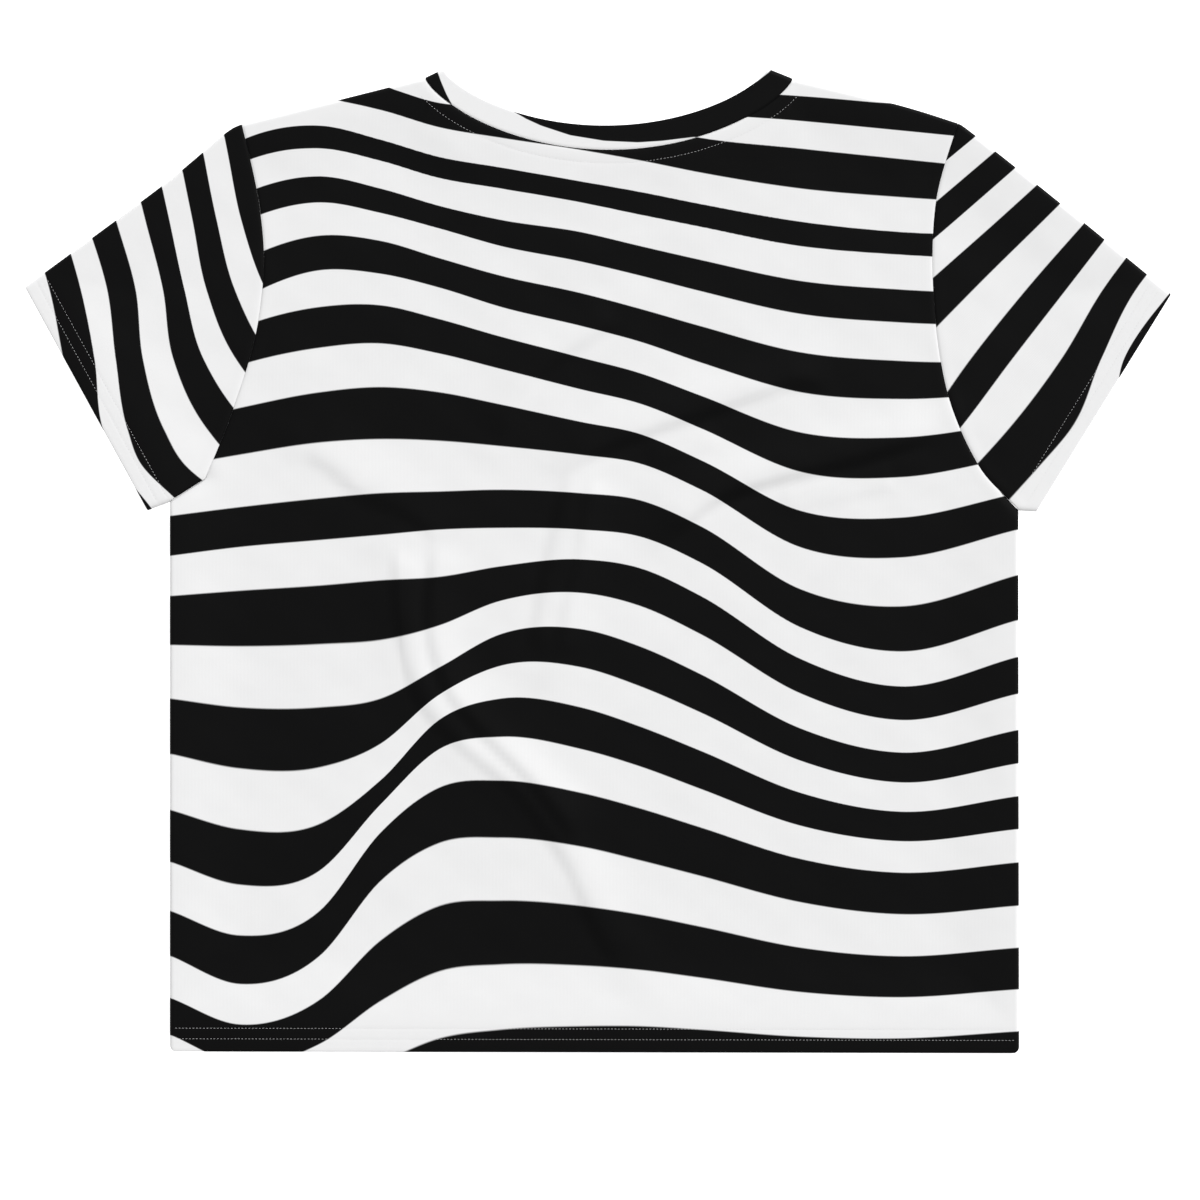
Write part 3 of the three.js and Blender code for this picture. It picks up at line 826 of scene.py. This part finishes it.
def sleeve(name, side):
    """A sleeve: one flattened tube from its armhole seam to the cuff."""
    own, lines = SIDES[side], LINES[side]
    head = chain(smooth(own["sleeve_underarm"], own["tuck"]).at, TUCK_SHARE,
                 lines["armhole"].at)
    plan = patch(bottom=head, top=lines["cuff"].at, start=lines["underarm_fold"].at,
                 end=backward(lines["sleeve_fold"]))
    shares = armhole_stations(SLEEVE_STEP)
    cuff_line = outline(side, "cuff")
    hem = turned_up_rows()[::-1]
    hem_top = hem[0][0]
    tube = with_curl(lines["sleeve_fold"].length - hem_top, SLEEVE_STEP, True, False)[:-1]
    rows = [(share, hem_top, 0, hem_top, CLOTH) for share in tube]
    rows += [(1, *row) for row in hem]
    run, outer_height, outer_depth, inner_height, inner_depth = np.array(rows).T
    share = np.concatenate([shares, shares[1:-1][::-1]])
    above = np.arange(len(share)) < len(shares)
    length = distance_to(cuff_line, head(share))
    drawn_in = np.minimum(1, SHORT_HEM_SHARE * length / hem_top)

    def face(height, depth):
        along = run[:, None] * (1 - height[:, None] * drawn_in / length)
        places = drawn_back(plan(share[None, :], along), ARMHOLES[side], False)
        relief = sewn(places, ARMHOLES[side], HEM_ROWS, distance_to(cuff_line, places))
        layers = []
        for upper in (True, False):
            middle, normal = cloth_at(places, upper, level_of(places, upper), 0,
                                      SLEEVE_EDGES[side], relief)
            layers.append(middle + normal * (CAD_CLOTH / 2 - depth[:, None, None]))
        return places, np.where(above[None, :, None], *layers)

    places, outside = face(outer_height, outer_depth)
    _, inside = face(inner_height, inner_depth)
    grain = turned_grain(places, *lines["cuff"].at([0, 1]))
    return shell(name, outside, inside, True, sleeve_stripe(side, places), grain)


def turned_grain(places, start, end):
    """Places measured along and across the line from start to end."""
    along = unit(end - start)
    return np.stack([places @ along, places @ turned_left(along)], axis=-1)


def band_section(width):
    """The neckband's section round: the share of the way from its seam to its open edge, and
    the depth below its outer face. The open edge is a soft fold."""
    radius = BAND_CLOTH / 2
    reach = radius / width
    dips = [(share, BAND_SEAM_DIP * bump(share, BAND_SEAM_DIP_WIDTH)) for share in BAND_SHARES]
    steps = 2 * BENT_STEPS
    angles = [math.pi * k / steps for k in range(steps + 1)]
    fold = [(1 - reach + reach * math.sin(angle), radius - radius * math.cos(angle))
            for angle in angles]
    return [*dips, *fold, *[(share, BAND_CLOTH - dip) for share, dip in dips[::-1]]]


def neckband(name):
    """The neckband: a ring that folds over at both shoulders."""
    rings = {half: with_curl(lines["seam"].length, BAND_STEP, True, True)
             for half, lines in NECKS.items()}
    share = np.concatenate([rings["back"], rings["front"][1:-1][::-1]])
    behind = np.arange(len(share)) < len(rings["back"])

    def choose(back, front):
        return np.where(behind[:, None], back, front)

    seam, edge = (choose(NECKS["back"][line].at(share), NECKS["front"][line].at(share))
                  for line in ("seam", "edge"))
    width = np.linalg.norm(edge - seam, axis=1).mean()
    across, depth = np.array(band_section(width)).T[:, :, None]
    places = mix(seam, edge, across[..., None])
    places = choose(*(drawn_back(places, [NECK_LINES[half]], False) for half in NECKS))
    layers = []
    for upper in (True, False):
        level = np.full(places.shape[:-1], EDGE_LEVEL if upper else BAND_LOWER_LEVEL)
        middle, normal = cloth_at(places, upper, level, 0, BAND_FOLDS)
        layers.append(middle + normal * (CAD_BAND_CLOTH / 2 - depth)[..., None])
    grain = np.stack(np.broadcast_arrays(share * HALF_BAND_LENGTH, across * width), axis=-1)
    return solid_ring(name, choose(*layers), band_stripe(places, behind, share), grain)


def stitch_template():
    """One stitch, a thread that bows up between its two ends: places along, over and across
    it, and its faces."""
    sides, rings = STITCH_SIDES, STITCH_RINGS
    points, faces = [], []
    for k in range(rings):
        along = -1 + 2 * k / (rings - 1)
        radius = STITCH_RADIUS * (1 - STITCH_THINNING * along ** 4)
        bow = STITCH_BOW - STITCH_SINK * along ** 4
        for j in range(sides):
            angle = 2 * math.pi * j / sides
            points.append((along * STITCH_LENGTH / 2, bow + radius * math.sin(angle),
                           radius * math.cos(angle)))
    for k in range(rings - 1):
        for j in range(sides):
            near, after = k * sides + j, k * sides + (j + 1) % sides
            faces.append((near, after, after + sides, near + sides))
    last = (rings - 1) * sides
    caps = [tuple(range(sides))[::-1], tuple(range(last, last + sides))]
    return np.array(points), faces, caps


def stitches(name, rows):
    """Stitches along rows of places. Each row holds its places and the outer face there."""
    template, faces, caps = stitch_template()
    points, quads, ends = [], [], []
    total = 0
    for middle, normal in rows:
        run = run_along(middle)
        count = int(run[-1] // STITCH_PITCH)
        at = (np.arange(count) + 0.5) * run[-1] / count
        along = unit(read(at + HALF_STITCH, run, middle) - read(at - HALF_STITCH, run, middle))
        across = unit(np.cross(read(at, run, normal), along))
        directions = np.stack([along, np.cross(along, across), across], axis=1)
        points.append((read(at, run, middle)[:, None] + template @ directions).reshape(-1, 3))
        starts = (total + np.arange(count) * len(template))[:, None, None]
        quads += (starts + np.array(faces)).reshape(-1, 4).tolist()
        ends += (starts + np.array(caps)).reshape(-1, STITCH_SIDES).tolist()
        total += count * len(template)
    return smooth_object(name, np.concatenate(points), quads + ends)


def row_on(places, upper, closed, seams):
    """The outer face of the cloth along a row of stitches, which lies in its own groove."""
    relief = seam_profile(distance_to(seams, places)) - STITCH_GROOVE
    middle, normal = cloth_at(places, upper, level_of(places, upper), 0, closed, relief)
    return middle + normal * CAD_CLOTH / 2, normal


def offset_line(line, distance):
    """A line moved to its left by a distance."""
    return line + distance * turned_left(unit(np.gradient(line, axis=0)))


def hem_stitches(name, half):
    rows = []
    for height in HEM_ROWS:
        start, end = (lines["side_seam"].at(height / lines["side_seam"].length)
                      for lines in LINES.values())
        line = Line([start, end]).part(HEM_ROW_END / (end[0] - start[0]), LINE_SAMPLES)
        rows.append(row_on(line, half == "back", PANEL_EDGES, ARMHOLE_LINES))
    return stitches(name, rows)


def cuff_stitches(name, side):
    """Two rows round the cuff, above and below."""
    rows = []
    inwards = -1 if side == "left" else 1
    cuff = LINES[side]["cuff"].part(0, CUFF_LINE_SAMPLES)
    for height in HEM_ROWS:
        line = Line(offset_line(cuff, inwards * height)).part(CUFF_ROW_END, CUFF_ROW_SAMPLES)
        rows += [row_on(line, upper, SLEEVE_EDGES[side], ARMHOLES[side])
                 for upper in (True, False)]
    return stitches(name, rows)


def neck_stitches(name, half):
    line = Line(offset_line(NECKS[half]["seam"].part(0, LINE_SAMPLES + 1), -NECK_ROW))
    row = row_on(line.part(NECK_ROW_END, NECK_ROW_SAMPLES), half == "back", PANEL_EDGES,
                 [NECK_LINES[half]])
    return stitches(name, [row])


# Materials. Of two shades of a thing, its surface varies between them.
FULL_WHITE = (1, 1, 1, 1)
WHITE = (0.735, 0.735, 0.738, 1)
WHITE_SHADES = [(0.722, 0.722, 0.725, 1), (0.748, 0.748, 0.75, 1)]
BLACK = (0.001, 0.001, 0.0011, 1)
INSIDE_WHITE = (0.72, 0.72, 0.72, 1)
SHOW_THROUGH = (0.36, 0.36, 0.37, 1)
THREAD = (0.69, 0.69, 0.69, 1)
THREAD_SHADES = [(0.64, 0.64, 0.64, 1), (0.74, 0.74, 0.74, 1)]
FLOOR = (0.96, 0.96, 0.96, 1)
FLOOR_SHADES = [(0.955, 0.955, 0.955, 1), (0.965, 0.965, 0.965, 1)]
FLOOR_GLOW = 0.8
FLOOR_HALF_WIDTH, FLOOR_DROP = 12000.0, 0.2
STRIPE_SOFTNESS = 0.006
WALE, COURSE = 0.8, 0.62
LOOP_RELIEF, FUZZ_RELIEF = 0.35, 0.6

# The numbers of the colour sockets of a node that mixes
MIX_FIRST, MIX_SECOND, MIX_RESULT = 6, 7, 2


def node(tree, kind, inputs=None, **settings):
    """A shader node with its settings, and its inputs by name or number: a value, or the output
    of another node."""
    made = tree.nodes.new(kind)
    for key, value in settings.items():
        setattr(made, key, value)
    for key, value in (inputs or {}).items():
        if isinstance(value, bpy.types.NodeSocket):
            tree.links.new(value, made.inputs[key])
        else:
            made.inputs[key].default_value = value
    return made


def maths(tree, operation, *values):
    return node(tree, "ShaderNodeMath", dict(enumerate(values)), operation=operation).outputs[0]


def mixed(tree, factor, first, second):
    inputs = {"Factor": factor, MIX_FIRST: first, MIX_SECOND: second}
    return node(tree, "ShaderNodeMix", inputs, data_type="RGBA").outputs[MIX_RESULT]


def attribute(tree, name, output="Fac"):
    return node(tree, "ShaderNodeAttribute", attribute_name=name).outputs[output]


def emboss(tree, shader, height, strength, depth):
    """Shows a height as fine relief of the surface, up to some depth."""
    inputs = {"Height": height, "Strength": strength, "Distance": depth * MM}
    tree.links.new(node(tree, "ShaderNodeBump", inputs).outputs[0], shader.inputs["Normal"])


def new_material(name, colour, roughness, specular):
    material = bpy.data.materials.new(name)
    material.use_nodes = True
    material.diffuse_color = colour
    shader = material.node_tree.nodes["Principled BSDF"]
    shader.inputs["Base Color"].default_value = colour
    shader.inputs["Roughness"].default_value = roughness
    shader.inputs["Specular IOR Level"].default_value = specular
    return material, material.node_tree, shader


def knit_height(tree, grain):
    """The columns of small V-shaped stitches of a fine jersey."""
    split = node(tree, "ShaderNodeSeparateXYZ", {0: grain})
    wale = maths(tree, "FRACT", maths(tree, "DIVIDE", split.outputs[0], WALE))
    lean = maths(tree, "ABSOLUTE", maths(tree, "SUBTRACT", wale, 0.5))
    course = maths(tree, "DIVIDE", split.outputs[1], COURSE)
    phase = maths(tree, "MULTIPLY", maths(tree, "ADD", course, lean), 2 * math.pi)
    loops = maths(tree, "SINE", phase)
    column = maths(tree, "SINE", maths(tree, "MULTIPLY", wale, math.pi))
    relief = maths(tree, "MULTIPLY_ADD", loops, LOOP_RELIEF, 1 - LOOP_RELIEF)
    return maths(tree, "MULTIPLY", relief, column)


def jersey_material():
    """Black below an even level of the stripes and white below an odd one, paler on the inside."""
    material, tree, shader = new_material("jersey", WHITE, roughness=0.62, specular=0.09)
    grain = attribute(tree, "grain", "Vector")
    stripe = maths(tree, "FRACT", maths(tree, "MULTIPLY", attribute(tree, "stripe"), 0.5))
    ramp = node(tree, "ShaderNodeValToRGB", {0: stripe})
    soft = STRIPE_SOFTNESS
    # Each stop is a place on the ramp and how black the cloth is there
    stops = [(0.0, 0.5), (soft, 1.0), (0.5 - soft, 1.0), (0.5 + soft, 0.0), (1 - soft, 0.0),
             (1.0, 0.5)]
    elements = ramp.color_ramp.elements
    while len(elements) < len(stops):
        elements.new(0.5)
    for element, (position, shade) in zip(elements, stops):
        element.position = position
        element.color = (shade, shade, shade, 1)
    black = ramp.outputs["Color"]
    mottle = node(tree, "ShaderNodeTexNoise",
                  {"Vector": grain, "Scale": 0.09, "Detail": 3.0, "Roughness": 0.6})
    pale = mixed(tree, mottle.outputs["Fac"], *WHITE_SHADES)
    outside = mixed(tree, black, pale, BLACK)
    inside = mixed(tree, black, INSIDE_WHITE, SHOW_THROUGH)
    colour = mixed(tree, attribute(tree, "inner"), outside, inside)
    tree.links.new(colour, shader.inputs["Base Color"])
    fuzz = node(tree, "ShaderNodeTexNoise", {"Vector": grain, "Scale": 1.7, "Detail": 2.0})
    height = maths(tree, "MULTIPLY_ADD", fuzz.outputs["Fac"], FUZZ_RELIEF,
                   knit_height(tree, grain))
    emboss(tree, shader, height, strength=0.35, depth=0.08)
    return material


def thread_material():
    material, tree, shader = new_material("thread", THREAD, roughness=0.7, specular=0.2)
    place = node(tree, "ShaderNodeTexCoord").outputs["Object"]
    ply = node(tree, "ShaderNodeTexWave", {"Vector": place, "Scale": 900.0, "Distortion": 1.0},
               bands_direction="DIAGONAL").outputs["Fac"]
    tree.links.new(mixed(tree, ply, *THREAD_SHADES), shader.inputs["Base Color"])
    emboss(tree, shader, ply, strength=0.3, depth=0.05)
    return material


def floor_material():
    material, tree, shader = new_material("floor", FLOOR, roughness=0.8, specular=0.1)
    place = node(tree, "ShaderNodeTexCoord").outputs["Object"]
    grey = node(tree, "ShaderNodeTexNoise", {"Vector": place, "Scale": 3.0}).outputs["Fac"]
    tree.links.new(mixed(tree, grey, *FLOOR_SHADES), shader.inputs["Base Color"])
    shader.inputs["Emission Color"].default_value = FULL_WHITE
    shader.inputs["Emission Strength"].default_value = FLOOR_GLOW
    return material


def make_floor():
    ends = (-FLOOR_HALF_WIDTH, FLOOR_HALF_WIDTH)
    points = np.array([(x, y, -FLOOR_DROP) for y in ends for x in ends])
    made = smooth_object("floor", points, [(0, 1, 3, 2)])
    made.data.materials.append(floor_material())


# Camera straight above the middle of the picture
PICTURE_WIDTH = 690.0
PICTURE_CENTRE = (1.15, -22.4)
CAMERA_HEIGHT = 3000.0
SENSOR = 36.0


def make_camera():
    data = bpy.data.cameras.new("camera")
    data.sensor_width = SENSOR
    data.lens = SENSOR * CAMERA_HEIGHT / PICTURE_WIDTH
    camera = bpy.data.objects.new("camera", data)
    camera.location = [length * MM for length in (*PICTURE_CENTRE, CAMERA_HEIGHT)]
    bpy.context.scene.collection.objects.link(camera)
    bpy.context.scene.camera = camera


# Light: the share that comes evenly from all round, and a wide soft key light
ROUND_LIGHT = 0.62
KEY_LIGHT = 0.55
KEY_TILT = 54.0
KEY_AZIMUTH = 50.0
KEY_SOFTNESS = 30.0


def make_light():
    world = bpy.data.worlds.new("world")
    world.use_nodes = True
    background = world.node_tree.nodes["Background"]
    background.inputs["Color"].default_value = FULL_WHITE
    background.inputs["Strength"].default_value = ROUND_LIGHT
    bpy.context.scene.world = world
    data = bpy.data.lights.new("key", "SUN")
    data.energy = math.pi * KEY_LIGHT / math.cos(math.radians(KEY_TILT))
    data.angle = math.radians(KEY_SOFTNESS)
    key = bpy.data.objects.new("key", data)
    key.rotation_euler = (0, math.radians(KEY_TILT), math.radians(KEY_AZIMUTH))
    bpy.context.scene.collection.objects.link(key)
    bpy.context.scene.view_settings.view_transform = "Standard"


def dress(made, slot, node_name=None):
    made.data.materials.append(materials[slot])
    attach(made, "root")
    if node_name:
        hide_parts(node_name)
    return made


def panel_sewing(half):
    """The stitches at the hem and at the neck seam of a panel."""
    return [dress(hem_stitches(f"stitches_hem_{half}", half), "thread"),
            dress(neck_stitches(f"stitches_neck_{half}", half), "thread")]


make_camera()
make_light()
make_floor()
materials = {"jersey": jersey_material(), "thread": thread_material()}

front = dress(panel("cloth_front", "front", FRONT_STEP), "jersey", "front")
back = dress(panel("cloth_back", "back", BACK_STEP), "jersey", "back")
sleeves = {side: dress(sleeve(f"cloth_sleeve_{side}", side), "jersey", f"sleeve_{side}")
           for side in SIDES}
band = dress(neckband("cloth_neckband"), "jersey", "neckband")
back_sewing = panel_sewing("back")
front_sewing = panel_sewing("front")
cuff_sewing = {side: dress(cuff_stitches(f"stitches_cuff_{side}", side), "thread")
               for side in SIDES}
